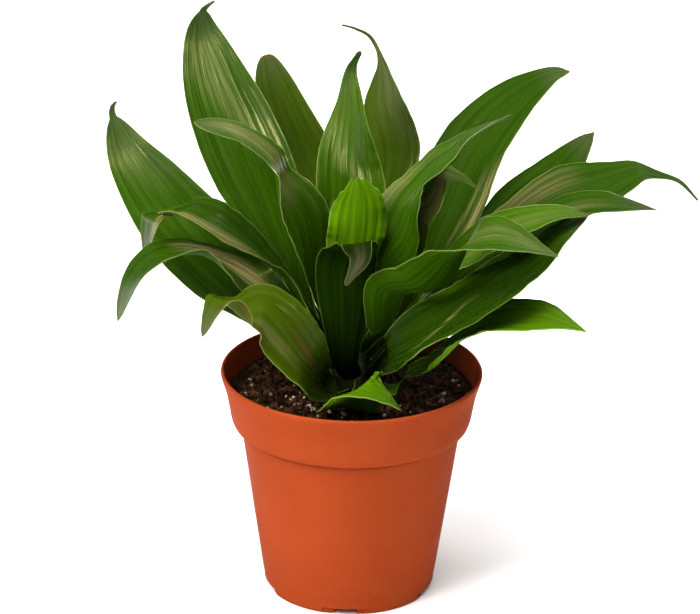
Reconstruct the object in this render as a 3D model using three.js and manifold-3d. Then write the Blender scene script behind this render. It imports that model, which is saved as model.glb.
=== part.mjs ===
// A compact dracaena in a plastic grower's pot: pot, potting soil, a short stem and the leaves
// that clasp it. Millimetres, +Z up. The origin is in the plane that the pot's foot ring stands on,
// under the middle of the plant's spread. +X is to the right and -Y towards the viewer when the
// plant is seen from its front.

import * as THREE from 'three';
import { mergeVertices } from 'three/addons/utils/BufferGeometryUtils.js';
import Module from 'manifold-3d';

// ---------------------------------------------------------------- driving dimensions

const POT_AXIS_X = -19; // the leaves reach further to the right and to the back than to the left and front
const POT_AXIS_Y = -24;

const POT_HEIGHT = 93;
const RIM_RADIUS = 52.5;
const COLLAR_FOOT_RADIUS = 48.3; // outside of the collar just above its rounded underside
const NECK_RADIUS = 44.2; // outside of the tapered wall where the collar springs from it
const FOOT_RADIUS = 33.6;
const COLLAR_UNDERSIDE = 69.4; // height
const WALL = 1.2;
const FLOOR_UNDERSIDE = 3; // the floor is raised inside the foot ring
const FOOT_RING_INNER = 31.3;
const POT_SIDES = 48;

const NOTCH_COUNT = 5; // drain notches in the foot ring
const NOTCH_FIRST_AZIMUTH = -92; // degrees
const NOTCH_HEIGHT = 2.7;
const NOTCH_OPENING = 9; // width of the opening right through the ring
const NOTCH_RECESS = 19; // width of the shallow recess around it
const NOTCH_RECESS_DEPTH = 1;
const DRAIN_RADIUS = 3.5;
const DRAIN_CIRCLE = 24;

const SOIL_LEVEL = 84;
const SOIL_SIDES = 36;
const SOIL_RINGS = 7; // steps across its uneven top
const GAP = 0.3; // between pieces that touch

const STEM_FOOT = 45; // bottom of the buried stub
const STEM_TOP = 134;
const STEM_RADIUS_AT_SOIL = 7.5;
const STEM_RADIUS_AT_TOP = 5;

const BLADE = 0.8; // leaf thickness
const STATIONS = 14; // steps along a blade
const ACROSS = 4; // steps across it
const TIP_CROWDING = 1.35; // above 1 the steps lie closer together towards the tip
const NECK = 4.8; // half-width of a blade where it leaves the stem
const NECK_END = 0.08; // share of the blade's length
const TAIL_SHARE = 0.09; // half-width where a drip tip starts
const TIP_SHARE = 0.035; // half-width at the very tip

// ---------------------------------------------------------------- materials

const potPlastic = new THREE.MeshStandardMaterial({ color: 0xc65a33, roughness: 0.5, metalness: 0 });
const pottingSoil = new THREE.MeshStandardMaterial({ color: 0x2a1a12, roughness: 1, metalness: 0 });
const stemBark = new THREE.MeshStandardMaterial({ color: 0x5d6a2c, roughness: 0.7, metalness: 0 });
const leafGreen = new THREE.MeshStandardMaterial({ color: 0x43750f, roughness: 0.35, metalness: 0 });

// ---------------------------------------------------------------- the leaves

// azimuth  degrees round the stem, 0 at +X and 90 at +Y (the back)
// from     height at which the leaf clasps the stem
// path     midrib after the clasp: [outwards, sideways, up] in the plane of the azimuth
// width    greatest width; belly and drip are shares of the length: the widest place and the start of the
//          thin drip tip (drip 1 has a rounded end instead)
// roll     degrees turned about the midrib, at even stations from base to tip
// cup      half-angle in degrees of the arc that the blade's section follows, at even stations;
//          below 0 the margins bend down
// wave     ripple of the margins: [height, count, phase]
// neck     half-width at the clasp where it differs from NECK
// full     how long the blade stays broad past its belly: below 0.7 longer, above it shorter
const CUP = [35, 36, 24, 16];
const WAVE = [0.8, 3, 0];

const LEAVES = [
  {
    name: 'leaf_left_wide', azimuth: 160, from: 85, width: 37, belly: 0.43, drip: 0.94,
    path: [[22, 0, 97], [39, 0, 113], [58, 0, 130], [74, 1, 145], [87, 1, 160], [96, 2, 173],
      [101, 4, 187], [101, 5, 192], [99, 6, 195]],
    roll: [0, -25, -45, -55, -60], cup: [40, 36, 24, 16], neck: 4.3,
  },
  {
    name: 'leaf_left_tall', azimuth: 141, from: 94, width: 36, belly: 0.54, drip: 0.95,
    path: [[16, 1, 102], [30, 0, 123], [45, 1, 152], [57, 4, 178], [67, 6, 200], [73, 7, 219],
      [72, 8, 229], [70, 8, 232], [66, 8, 235]],
    roll: [-8, -15, -35, -35], neck: 2.8,
  },
  {
    name: 'leaf_left_inner', azimuth: 186, from: 118, width: 27, belly: 0.42, drip: 0.99,
    path: [[14, 4, 123], [16, 0, 133], [21, 1, 157], [29, 4, 171], [33, 6, 184], [46, 4, 195],
      [63, 3, 200]],
    roll: [-31, -38, -41, -19, -10, -35], cup: [45, 36, 24, 16], neck: 5.3,
  },
  {
    name: 'leaf_left_arch_upper', azimuth: 184, from: 98, width: 26, belly: 0.67, drip: 0.99,
    path: [[15, 6, 114], [26, 1, 131], [40, 1, 146], [54, 1, 156], [65, -3, 160], [73, -7, 157],
      [79, -4, 156], [82, -2, 140]],
    roll: [-12, 0, 2, -19, 0, -4], cup: [35, 36, 24, 16], neck: 4.8,
  },
  {
    name: 'leaf_left_arch_lower', azimuth: 197, from: 94, width: 28, belly: 0.67, drip: 0.99,
    path: [[20, 1, 104], [23, -1, 117], [40, 3, 133], [51, 1, 142], [62, -2, 148], [76, -1, 149],
      [88, 0, 142], [97, 5, 126]],
    roll: [-4, -49, -46, 1, 6, 2], cup: [5, 36, 24, 16], neck: 3.3,
  },
  {
    name: 'leaf_front_left', azimuth: 227, from: 87, width: 29, belly: 0.47, drip: 0.99,
    path: [[14, -1, 88], [30, 7, 102], [39, 8, 113], [49, 0, 130], [57, -6, 131], [66, -8, 139],
      [76, -8, 127]],
    roll: [-15, -78, -72, -78, -10, 3], cup: [60, 34, 24, 16], neck: 7.5,
  },
  {
    name: 'leaf_front_short', azimuth: 281, from: 88, width: 30, belly: 0.57, drip: 0.99,
    path: [[19, -1, 87], [25, -2, 86], [34, -7, 95], [39, -5, 101], [42, -1, 101], [45, 6, 98],
      [46, 11, 94]],
    roll: [-68, -39, 14, 50, 39, 30], cup: [35, 20, 14, 10], wave: [0.4, 3, 0], neck: 3.9,
  },
  {
    name: 'leaf_centre_folded', azimuth: 262, from: 92, width: 24, belly: 0.52, drip: 0.99,
    path: [[16, -1, 103], [16, -1, 124], [16, -1, 142], [23, 3, 151], [27, 6, 156], [32, 6, 159],
      [33, 7, 153], [35, 2, 143]],
    roll: [0, 3, 5, 0, 23, -7], cup: [55, 30, 12, 4], neck: 6, full: 1.29,
  },
  {
    name: 'leaf_centre_bright', azimuth: 277, from: 111, width: 24, belly: 0.68, drip: 1,
    path: [[7, 0, 119], [9, -1, 129], [9, -2, 141], [10, 0, 153], [10, 1, 167], [11, 0, 179]],
    roll: [7, -5, 1, 7, 0, -5], cup: [35, 40, 18, 10], wave: [1, 4, 0], neck: 5.5, full: 0.59,
  },
  {
    name: 'leaf_centre_upright', azimuth: 95, from: 114, width: 30, belly: 0.42, drip: 0.99,
    path: [[10, 3, 125], [12, 4, 142], [14, 1, 159], [18, 1, 177], [21, 0, 196], [22, 0, 211],
      [17, -3, 221]],
    roll: [-4, 0, 5, -27, 12], full: 1.81,
  },
  {
    name: 'leaf_back_blunt', azimuth: 116, from: 101, width: 25, belly: 0.56, drip: 1,
    path: [[15, -1, 110], [26, -5, 128], [39, -7, 146], [51, -4, 162], [61, 1, 179], [70, 3, 193],
      [75, 4, 203]],
    roll: [0, -10, -20, -30], neck: 3.8,
  },
  {
    name: 'leaf_back_hooked', azimuth: 72, from: 99, width: 22, belly: 0.69, drip: 0.88,
    path: [[21, -1, 113], [31, -3, 130], [40, -3, 151], [49, -3, 170], [52, 3, 188], [54, 6, 203],
      [54, 11, 214], [52, 17, 218], [49, 22, 220]],
    roll: [-2, -1, 0, -9, -24, 0], cup: [35, 36, 24, 16], neck: 4.3, full: 2.04,
  },
  {
    name: 'leaf_right_tall', azimuth: 45, from: 93, width: 32, belly: 0.54, drip: 0.99,
    path: [[18, -1, 102], [30, -2, 117], [44, -1, 134], [57, 0, 152], [70, 1, 169], [86, -2, 184],
      [100, -10, 195], [107, -16, 198]],
    roll: [9, 24, 31, 14, 12, -9], neck: 4.2, full: 0.65,
  },
  {
    name: 'leaf_right_twisted', azimuth: -10, from: 121, width: 30, belly: 0.43, drip: 0.99,
    path: [[10, 0, 121], [13, 0, 141], [19, -3, 153], [24, -3, 167], [30, -2, 178], [40, -4, 188],
      [46, -2, 196], [60, 9, 202]],
    roll: [133, 84, 52, 9, 10, -3], cup: [25, 36, 24, 16], neck: 3.8, full: 0.7,
  },
  {
    name: 'leaf_right_curled', azimuth: 6, from: 109, width: 25, belly: 0.64, drip: 0.99,
    path: [[14, -1, 116], [18, -5, 138], [22, -4, 146], [23, -4, 160], [29, -6, 169], [34, -5, 177],
      [41, -6, 176], [47, -10, 173]],
    roll: [-16, 20, 37, 30, 17, 3], cup: [15, 30, 10, 2], neck: 3.4, full: 1.42,
  },
  {
    name: 'leaf_right_blunt', azimuth: 32, from: 85, width: 29, belly: 0.68, drip: 0.99,
    path: [[18, -1, 95], [34, -1, 109], [52, -2, 122], [71, -3, 138], [87, -6, 154], [99, -9, 168],
      [107, -11, 178]],
    roll: [2, 25, 45, 51, 16, 4], neck: 4.3, full: 0.69,
  },
  {
    name: 'leaf_right_long', azimuth: 12, from: 97, width: 34, belly: 0.63, drip: 0.92,
    path: [[14, 0, 104], [30, 1, 113], [47, 2, 132], [64, 0, 147], [81, -4, 159], [99, -6, 166],
      [114, -4, 171], [123, -3, 169], [131, -7, 167], [137, -13, 161]],
    roll: [6, 7, 9, 12, 15, 15], cup: [40, 36, 24, 16], neck: 3.8, full: 1.46,
  },
  {
    name: 'leaf_right_broad', azimuth: -22, from: 90, width: 38, belly: 0.52, drip: 0.99,
    path: [[18, -5, 102], [22, -13, 108], [42, -19, 124], [62, -13, 139], [75, 0, 149],
      [84, 8, 161], [92, 15, 168]],
    roll: [14, 38, 15, 9, 9, 7], cup: [35, 32, 20, 16], neck: 6.2, full: 0.68,
  },
  {
    name: 'leaf_right_mid', azimuth: -14, from: 101, width: 21, belly: 0.61, drip: 0.99,
    path: [[25, 0, 121], [26, 0, 123], [40, -1, 142], [54, -1, 154], [67, -2, 162], [81, -2, 168],
      [94, -2, 169]],
    roll: [-4, 7, 16, 27, 21, -9], cup: [35, 36, 24, 16], neck: 4.4, full: 0.51,
  },
  {
    name: 'leaf_right_slim', azimuth: -3, from: 113, width: 20, belly: 0.66, drip: 0.99,
    path: [[13, 8, 117], [23, 11, 123], [44, 1, 139], [61, -1, 151], [77, -3, 162], [91, -3, 167],
      [105, -4, 168], [119, 0, 165]],
    roll: [-55, 5, -12, -13, 14, -8], cup: [5, 36, 24, 16], neck: 2.4, full: 0.61,
  },
  {
    name: 'leaf_right_front', azimuth: -40, from: 104, width: 29, belly: 0.58, drip: 0.98,
    path: [[19, -3, 116], [20, -5, 120], [26, -9, 136], [40, -7, 142], [54, -4, 158], [71, 1, 168],
      [92, 12, 162]],
    roll: [19, -29, -42, -19, 29, 14], cup: [45, 36, 24, 16], neck: 6, full: 1.05,
  },
  {
    name: 'leaf_right_low', azimuth: -28, from: 86, width: 28, belly: 0.8, drip: 0.99,
    path: [[19, 4, 86], [25, 0, 96], [36, -1, 102], [45, -4, 111], [55, -5, 122], [70, -6, 130],
      [87, -6, 133], [104, -4, 132]],
    roll: [26, 12, 9, 0, -3, -27], cup: [30, 36, 24, 16], neck: 3.4, full: 0.78,
  },
  {
    name: 'leaf_rear_right', azimuth: 66, from: 88, width: 27, belly: 0.58, drip: 0.96,
    path: [[15, 0, 96], [35, 1, 115], [60, 2, 132], [80, 1, 135], [98, -2, 120]],
    roll: [0, 0], neck: 4.3,
  },
  {
    name: 'leaf_rear_centre', azimuth: 100, from: 91, width: 28, belly: 0.58, drip: 0.96,
    path: [[15, 0, 103], [36, 1, 123], [62, 2, 144], [85, 1, 146], [104, -2, 130]],
    roll: [0, 0], neck: 3.9,
  },
  {
    name: 'leaf_rear_left', azimuth: 129, from: 88, width: 27, belly: 0.58, drip: 0.96,
    path: [[15, 0, 96], [35, 1, 114], [60, 2, 131], [80, 1, 134], [98, -2, 119]],
    roll: [0, 0], neck: 4.3,
  },
  {
    name: 'leaf_young_left', azimuth: 215, from: 124, width: 13, belly: 0.58, drip: 0.96,
    path: [[7, 0, 133], [7, 0, 149], [9, 0, 160], [10, 0, 168]],
    roll: [0, 0],
  },
  {
    name: 'leaf_young_right', azimuth: 60, from: 126, width: 12, belly: 0.58, drip: 0.96,
    path: [[7, 0, 135], [7, 0, 150], [8, 0, 158], [9, 0, 166]],
    roll: [0, 0],
  },
];

// ---------------------------------------------------------------- small helpers

const { clamp, degToRad, lerp } = THREE.MathUtils;

// A value along a leaf, from a few numbers at even stations.
function smoothAlong(values, u) {
  return new THREE.SplineCurve(values.map((value, i) => new THREE.Vector2(i, value))).getPoint(u).y;
}

// A solid of revolution about Z from [radius, height] pairs that start and end on the axis.
function revolve(profile, sides) {
  const points = profile.map(([radius, height]) => new THREE.Vector2(radius, height));
  return new THREE.LatheGeometry(points, sides).rotateX(Math.PI / 2);
}

function stemRadius(height) {
  const share = clamp((height - SOIL_LEVEL) / (STEM_TOP - SOIL_LEVEL), 0, 1);
  return lerp(STEM_RADIUS_AT_SOIL, STEM_RADIUS_AT_TOP, share);
}

// ---------------------------------------------------------------- booleans

const wasm = await Module();
wasm.setup();

function toSolid(geometry) {
  const plain = geometry.index ? geometry.toNonIndexed() : geometry.clone();
  plain.deleteAttribute('normal');
  plain.deleteAttribute('uv');
  const merged = mergeVertices(plain, 1e-4);
  return new wasm.Manifold(new wasm.Mesh({
    numProp: 3,
    vertProperties: new Float32Array(merged.attributes.position.array),
    triVerts: new Uint32Array(merged.index.array),
  }));
}

function fromSolid(solid) {
  const mesh = solid.getMesh();
  const geometry = new THREE.BufferGeometry();
  geometry.setAttribute('position', new THREE.BufferAttribute(new Float32Array(mesh.vertProperties), 3));
  geometry.setIndex(new THREE.BufferAttribute(new Uint32Array(mesh.triVerts), 1));
  geometry.computeVertexNormals();
  return geometry;
}

// ---------------------------------------------------------------- pot

const COLLAR_SLOPE = (RIM_RADIUS - COLLAR_FOOT_RADIUS) / (POT_HEIGHT - COLLAR_UNDERSIDE);

// Inside of the pot, from the floor's edge up to the rim, as [radius, height].
const INSIDE = [
  [FOOT_RADIUS - WALL, FLOOR_UNDERSIDE + WALL],
  [FOOT_RADIUS + 0.2, FLOOR_UNDERSIDE + 5],
  [NECK_RADIUS - WALL, COLLAR_UNDERSIDE - 0.4],
  [NECK_RADIUS + 1.8, COLLAR_UNDERSIDE + 2.1],
  [COLLAR_FOOT_RADIUS - WALL, COLLAR_UNDERSIDE + 4.1],
  [RIM_RADIUS - 3.5, POT_HEIGHT - 8.5],
  [RIM_RADIUS - 1.6, POT_HEIGHT - 1],
];

function insideRadius(height) {
  for (let i = 1; i < INSIDE.length; i += 1) {
    const [r0, z0] = INSIDE[i - 1];
    const [r1, z1] = INSIDE[i];
    if (height <= z1) return lerp(r0, r1, (height - z0) / (z1 - z0));
  }
  return INSIDE[INSIDE.length - 1][0];
}

function potGeometry() {
  const outside = [
    [0, FLOOR_UNDERSIDE],
    [FOOT_RING_INNER - 0.8, FLOOR_UNDERSIDE],
    [FOOT_RING_INNER, 0],
    [FOOT_RADIUS, 0],
    [FOOT_RADIUS + 0.7, 1.2],
    [NECK_RADIUS, COLLAR_UNDERSIDE],
    [NECK_RADIUS + 1.1, COLLAR_UNDERSIDE + 0.2],
    [NECK_RADIUS + 3.1, COLLAR_UNDERSIDE + 1.4],
    [COLLAR_FOOT_RADIUS, COLLAR_UNDERSIDE + 4.1],
    [COLLAR_FOOT_RADIUS + COLLAR_SLOPE * 11, COLLAR_UNDERSIDE + 15.1],
    [RIM_RADIUS - 0.2, POT_HEIGHT - 2],
    [RIM_RADIUS, POT_HEIGHT - 0.8],
    [RIM_RADIUS - 0.4, POT_HEIGHT],
    [RIM_RADIUS - 1.2, POT_HEIGHT],
  ];
  const inside = [...INSIDE].reverse();
  let pot = toSolid(revolve([...outside, ...inside, [0, FLOOR_UNDERSIDE + WALL]], POT_SIDES));
  for (let i = 0; i < NOTCH_COUNT; i += 1) {
    const turn = degToRad(NOTCH_FIRST_AZIMUTH + (360 * i) / NOTCH_COUNT);
    const opening = new THREE.BoxGeometry(8, NOTCH_OPENING, 2 * NOTCH_HEIGHT);
    opening.translate(FOOT_RADIUS - 2, 0, 0);
    const recess = new THREE.BoxGeometry(4, NOTCH_RECESS, 2 * NOTCH_HEIGHT);
    recess.translate(FOOT_RADIUS - NOTCH_RECESS_DEPTH + 2, 0, 0);
    const drain = new THREE.CylinderGeometry(DRAIN_RADIUS, DRAIN_RADIUS, 6, 16).rotateX(Math.PI / 2);
    drain.translate(DRAIN_CIRCLE, 0, FLOOR_UNDERSIDE + WALL / 2);
    for (const cutter of [opening, recess, drain]) {
      pot = pot.subtract(toSolid(cutter.rotateZ(turn)));
    }
  }
  return fromSolid(pot);
}

// ---------------------------------------------------------------- soil

const LUMP_HEIGHT = 0.9;

function soilLump(x, y) {
  const broad = Math.sin(0.21 * x + 1.3) * Math.cos(0.17 * y - 0.6);
  const fine = Math.sin(0.43 * x - 0.37 * y + 2.1);
  return LUMP_HEIGHT * (0.65 * broad + 0.35 * fine);
}

function soilGeometry() {
  const bottom = FLOOR_UNDERSIDE + WALL + GAP;
  const heights = [bottom, ...INSIDE.slice(1).map(([, height]) => height)];
  const walls = heights
    .filter((height) => height < SOIL_LEVEL - LUMP_HEIGHT)
    .map((height) => [insideRadius(height) - GAP, height]);
  const hole = STEM_RADIUS_AT_SOIL + GAP;
  const edge = insideRadius(SOIL_LEVEL) - 2 * GAP;
  const rings = Array.from({ length: SOIL_RINGS }, (_, i) => (
    [lerp(edge, hole, i / (SOIL_RINGS - 1)), SOIL_LEVEL]
  ));
  const profile = [[0, bottom], ...walls, ...rings, [hole, STEM_FOOT - GAP], [0, STEM_FOOT - GAP]];
  const geometry = revolve(profile, SOIL_SIDES);
  const position = geometry.attributes.position;
  for (let i = 0; i < position.count; i += 1) {
    if (position.getZ(i) > SOIL_LEVEL - 0.01) {
      position.setZ(i, SOIL_LEVEL + soilLump(position.getX(i), position.getY(i)));
    }
  }
  return geometry;
}

// ---------------------------------------------------------------- stem

function stemGeometry() {
  const profile = [
    [0, STEM_FOOT],
    [STEM_RADIUS_AT_SOIL - 2, STEM_FOOT],
    [STEM_RADIUS_AT_SOIL, STEM_FOOT + 3],
    [STEM_RADIUS_AT_SOIL, SOIL_LEVEL],
    [STEM_RADIUS_AT_TOP, STEM_TOP - 3],
    [STEM_RADIUS_AT_TOP - 2, STEM_TOP - 0.6],
    [0, STEM_TOP],
  ];
  return revolve(profile, 20);
}

// ---------------------------------------------------------------- leaf blades

function halfWidth(leaf, u) {
  const most = leaf.width / 2;
  if (u < leaf.belly) {
    const rise = clamp((u - NECK_END) / (leaf.belly - NECK_END), 0, 1);
    return lerp(leaf.neck ?? Math.min(NECK, 0.7 * most), most, rise * rise * (3 - 2 * rise));
  }
  const fall = Math.min((u - leaf.belly) / (leaf.drip - leaf.belly), 1);
  const fullness = leaf.full ?? (leaf.drip < 1 ? 0.7 : 0.45);
  const tail = leaf.drip < 1 ? clamp((1 - u) / (1 - leaf.drip), 0, 1) : 0;
  const least = lerp(TIP_SHARE, TAIL_SHARE, tail);
  return most * lerp(least, 1, Math.max(Math.cos((fall * Math.PI) / 2), 0) ** fullness);
}

// The midrib in space: the clasp on the stem, then the path laid out along the leaf's azimuth.
function midrib(leaf) {
  const turn = degToRad(leaf.azimuth);
  const clasp = [stemRadius(leaf.from) + GAP + BLADE / 2, 0, leaf.from];
  const points = [clasp, ...leaf.path].map(([out, side, up]) => (
    new THREE.Vector3(out, side, up).applyAxisAngle(new THREE.Vector3(0, 0, 1), turn)
  ));
  const curve = new THREE.CatmullRomCurve3(points, false, 'catmullrom', 0.5);
  curve.arcLengthDivisions = 400;
  return curve;
}

// Points of the blade's middle surface, one row for each station from base to tip.
function bladeRows(leaf) {
  const { azimuth, roll, cup = CUP, wave = WAVE } = leaf;
  const curve = midrib(leaf);
  const turn = degToRad(azimuth);
  const side = new THREE.Vector3(-Math.sin(turn), Math.cos(turn), 0);
  const [waveHeight, waveCount, wavePhase] = wave;
  const SUBSTEPS = 12;
  const rows = [];
  for (let k = 0; k <= STATIONS * SUBSTEPS; k += 1) {
    const u = 1 - (1 - k / (STATIONS * SUBSTEPS)) ** TIP_CROWDING;
    const along = curve.getTangentAt(u);
    // The side vector is carried along the curve without twisting.
    side.addScaledVector(along, -side.dot(along)).normalize();
    if (k % SUBSTEPS !== 0) continue;
    const upper = new THREE.Vector3().crossVectors(along, side);
    const rollAngle = degToRad(smoothAlong(roll, u));
    const across = side.clone().applyAxisAngle(along, rollAngle);
    const normal = upper.clone().applyAxisAngle(along, rollAngle);
    const centre = curve.getPointAt(u);
    const half = halfWidth(leaf, u);
    const bend = degToRad(smoothAlong(cup, u)) || 0.01;
    const row = [];
    for (let j = 0; j <= ACROSS; j += 1) {
      const s = (2 * j) / ACROSS - 1;
      const ripple = Math.sin(2 * Math.PI * waveCount * u + wavePhase + (s > 0 ? 1.7 : 0));
      const lift = waveHeight * Math.sin(Math.PI * u) * s * s * ripple;
      const reach = (half * Math.sin(bend * s)) / bend;
      const rise = (half * (1 - Math.cos(bend * s))) / bend + lift;
      row.push(centre.clone().addScaledVector(across, reach).addScaledVector(normal, rise));
    }
    rows.push(row);
  }
  return rows;
}

function rowNormals(rows) {
  const last = rows.length - 1;
  return rows.map((row, i) => row.map((point, j) => {
    const along = rows[Math.min(i + 1, last)][j].clone().sub(rows[Math.max(i - 1, 0)][j]);
    const across = row[Math.min(j + 1, ACROSS)].clone().sub(row[Math.max(j - 1, 0)]);
    return along.cross(across).normalize();
  }));
}

// A closed sheet of even thickness, split into triangles alike on both faces.
function bladeGeometry(leaf) {
  const rows = bladeRows(leaf);
  const normals = rowNormals(rows);
  const width = ACROSS + 1;
  const face = rows.length * width;
  const positions = [];
  for (const sign of [1, -1]) {
    rows.forEach((row, i) => row.forEach((point, j) => {
      const shifted = point.clone().addScaledVector(normals[i][j], (sign * BLADE) / 2);
      positions.push(shifted.x, shifted.y, shifted.z);
    }));
  }
  const index = [];
  for (let i = 0; i < rows.length - 1; i += 1) {
    for (let j = 0; j < ACROSS; j += 1) {
      const a = i * width + j;
      const b = a + width;
      index.push(a, b, b + 1, a, b + 1, a + 1);
      index.push(face + a, face + b + 1, face + b, face + a, face + a + 1, face + b + 1);
    }
  }
  const border = [];
  for (let j = 0; j < ACROSS; j += 1) border.push(j);
  for (let i = 0; i < rows.length - 1; i += 1) border.push(i * width + ACROSS);
  for (let j = ACROSS; j > 0; j -= 1) border.push((rows.length - 1) * width + j);
  for (let i = rows.length - 1; i > 0; i -= 1) border.push(i * width);
  border.forEach((a, k) => {
    const b = border[(k + 1) % border.length];
    index.push(a, b, face + b, a, face + b, face + a);
  });
  const geometry = new THREE.BufferGeometry();
  geometry.setAttribute('position', new THREE.Float32BufferAttribute(positions, 3));
  geometry.setIndex(index);
  geometry.computeVertexNormals();
  return geometry;
}

// ---------------------------------------------------------------- scene graph

function piece(name, geometry, material) {
  const mesh = new THREE.Mesh(geometry, material);
  mesh.name = name;
  return mesh;
}

// Everything below is laid out about the pot's axis, and the group stands where that axis is.
const plant = new THREE.Group();
plant.position.set(POT_AXIS_X, POT_AXIS_Y, 0);
plant.add(piece('pot', potGeometry(), potPlastic));
plant.add(piece('soil', soilGeometry(), pottingSoil));
plant.add(piece('stem', stemGeometry(), stemBark));
for (const leaf of LEAVES) {
  plant.add(piece(leaf.name, bladeGeometry(leaf), leafGreen));
}

const part = new THREE.Group();
part.add(plant);

export default part;
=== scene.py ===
"""A compact dracaena in a grower's pot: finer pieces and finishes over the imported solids.

Lengths are written in millimetres about the pot's axis, as in the solids' source, and become metres in
the shared frame when a mesh is made.
"""
import math

import bmesh
import bpy
import numpy as np
from mathutils import Matrix, Vector, noise


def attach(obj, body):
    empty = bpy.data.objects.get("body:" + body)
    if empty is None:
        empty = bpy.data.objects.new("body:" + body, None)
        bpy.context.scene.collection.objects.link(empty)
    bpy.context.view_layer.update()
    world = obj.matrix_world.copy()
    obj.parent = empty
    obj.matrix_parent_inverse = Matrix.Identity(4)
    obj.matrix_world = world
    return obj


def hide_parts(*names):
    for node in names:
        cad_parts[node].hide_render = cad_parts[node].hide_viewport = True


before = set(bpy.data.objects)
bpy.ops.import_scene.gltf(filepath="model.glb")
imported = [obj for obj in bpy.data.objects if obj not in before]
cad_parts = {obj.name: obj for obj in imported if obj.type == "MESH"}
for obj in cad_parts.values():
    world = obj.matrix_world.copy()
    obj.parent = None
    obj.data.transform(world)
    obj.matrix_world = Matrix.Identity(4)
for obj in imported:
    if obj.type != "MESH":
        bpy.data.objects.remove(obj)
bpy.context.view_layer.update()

MM = 0.001
POT_AXIS = np.array([-19.0, -24.0, 0.0])  # from the frame's origin

# ---------------- the solids' driving dimensions

POT_HEIGHT = 93
RIM_RADIUS = 52.5
COLLAR_FOOT_RADIUS = 48.3  # the collar at its lower end
NECK_RADIUS = 44.2  # the wall just below the collar
FOOT_RADIUS = 33.6
COLLAR_UNDERSIDE = 69.4
WALL = 1.2
FLOOR_UNDERSIDE = 3
FOOT_RING_INNER = 31.3
NOTCH_COUNT = 5
NOTCH_FIRST_AZIMUTH = -92
NOTCH_HEIGHT = 2.7
NOTCH_OPENING = 9
NOTCH_RECESS = 19  # width of the shallow recess about each opening
NOTCH_RECESS_DEPTH = 1
DRAIN_RADIUS = 3.5
DRAIN_CIRCLE = 24
SOIL_LEVEL = 84
GAP = 0.3  # between neighbouring solids
STEM_FOOT = 45
STEM_TOP = 134
STEM_RADIUS_AT_SOIL = 7.5
STEM_RADIUS_AT_TOP = 5
BLADE = 0.8  # thickness of the solids' leaves
TIP_CROWDING = 1.35  # draws a blade's stations closer together towards its tip
NECK = 4.8  # half-width of a leaf at its clasp, unless the leaf has its own
NARROW_NECK = 0.7  # the most that a neck takes of the leaf's half-width
NECK_END = 0.08  # share of the length where a leaf starts to widen
TAIL_SHARE = 0.09  # width of the drip tail where it starts, as a share of the leaf's width
TIP_SHARE = 0.035  # and at its end
POINTED_FULLNESS = 0.7  # of a leaf with a drip tip, unless the leaf has its own
BLUNT_FULLNESS = 0.45
CUP = [35, 36, 24, 16]
WAVE = [0.8, 3, 0]

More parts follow.
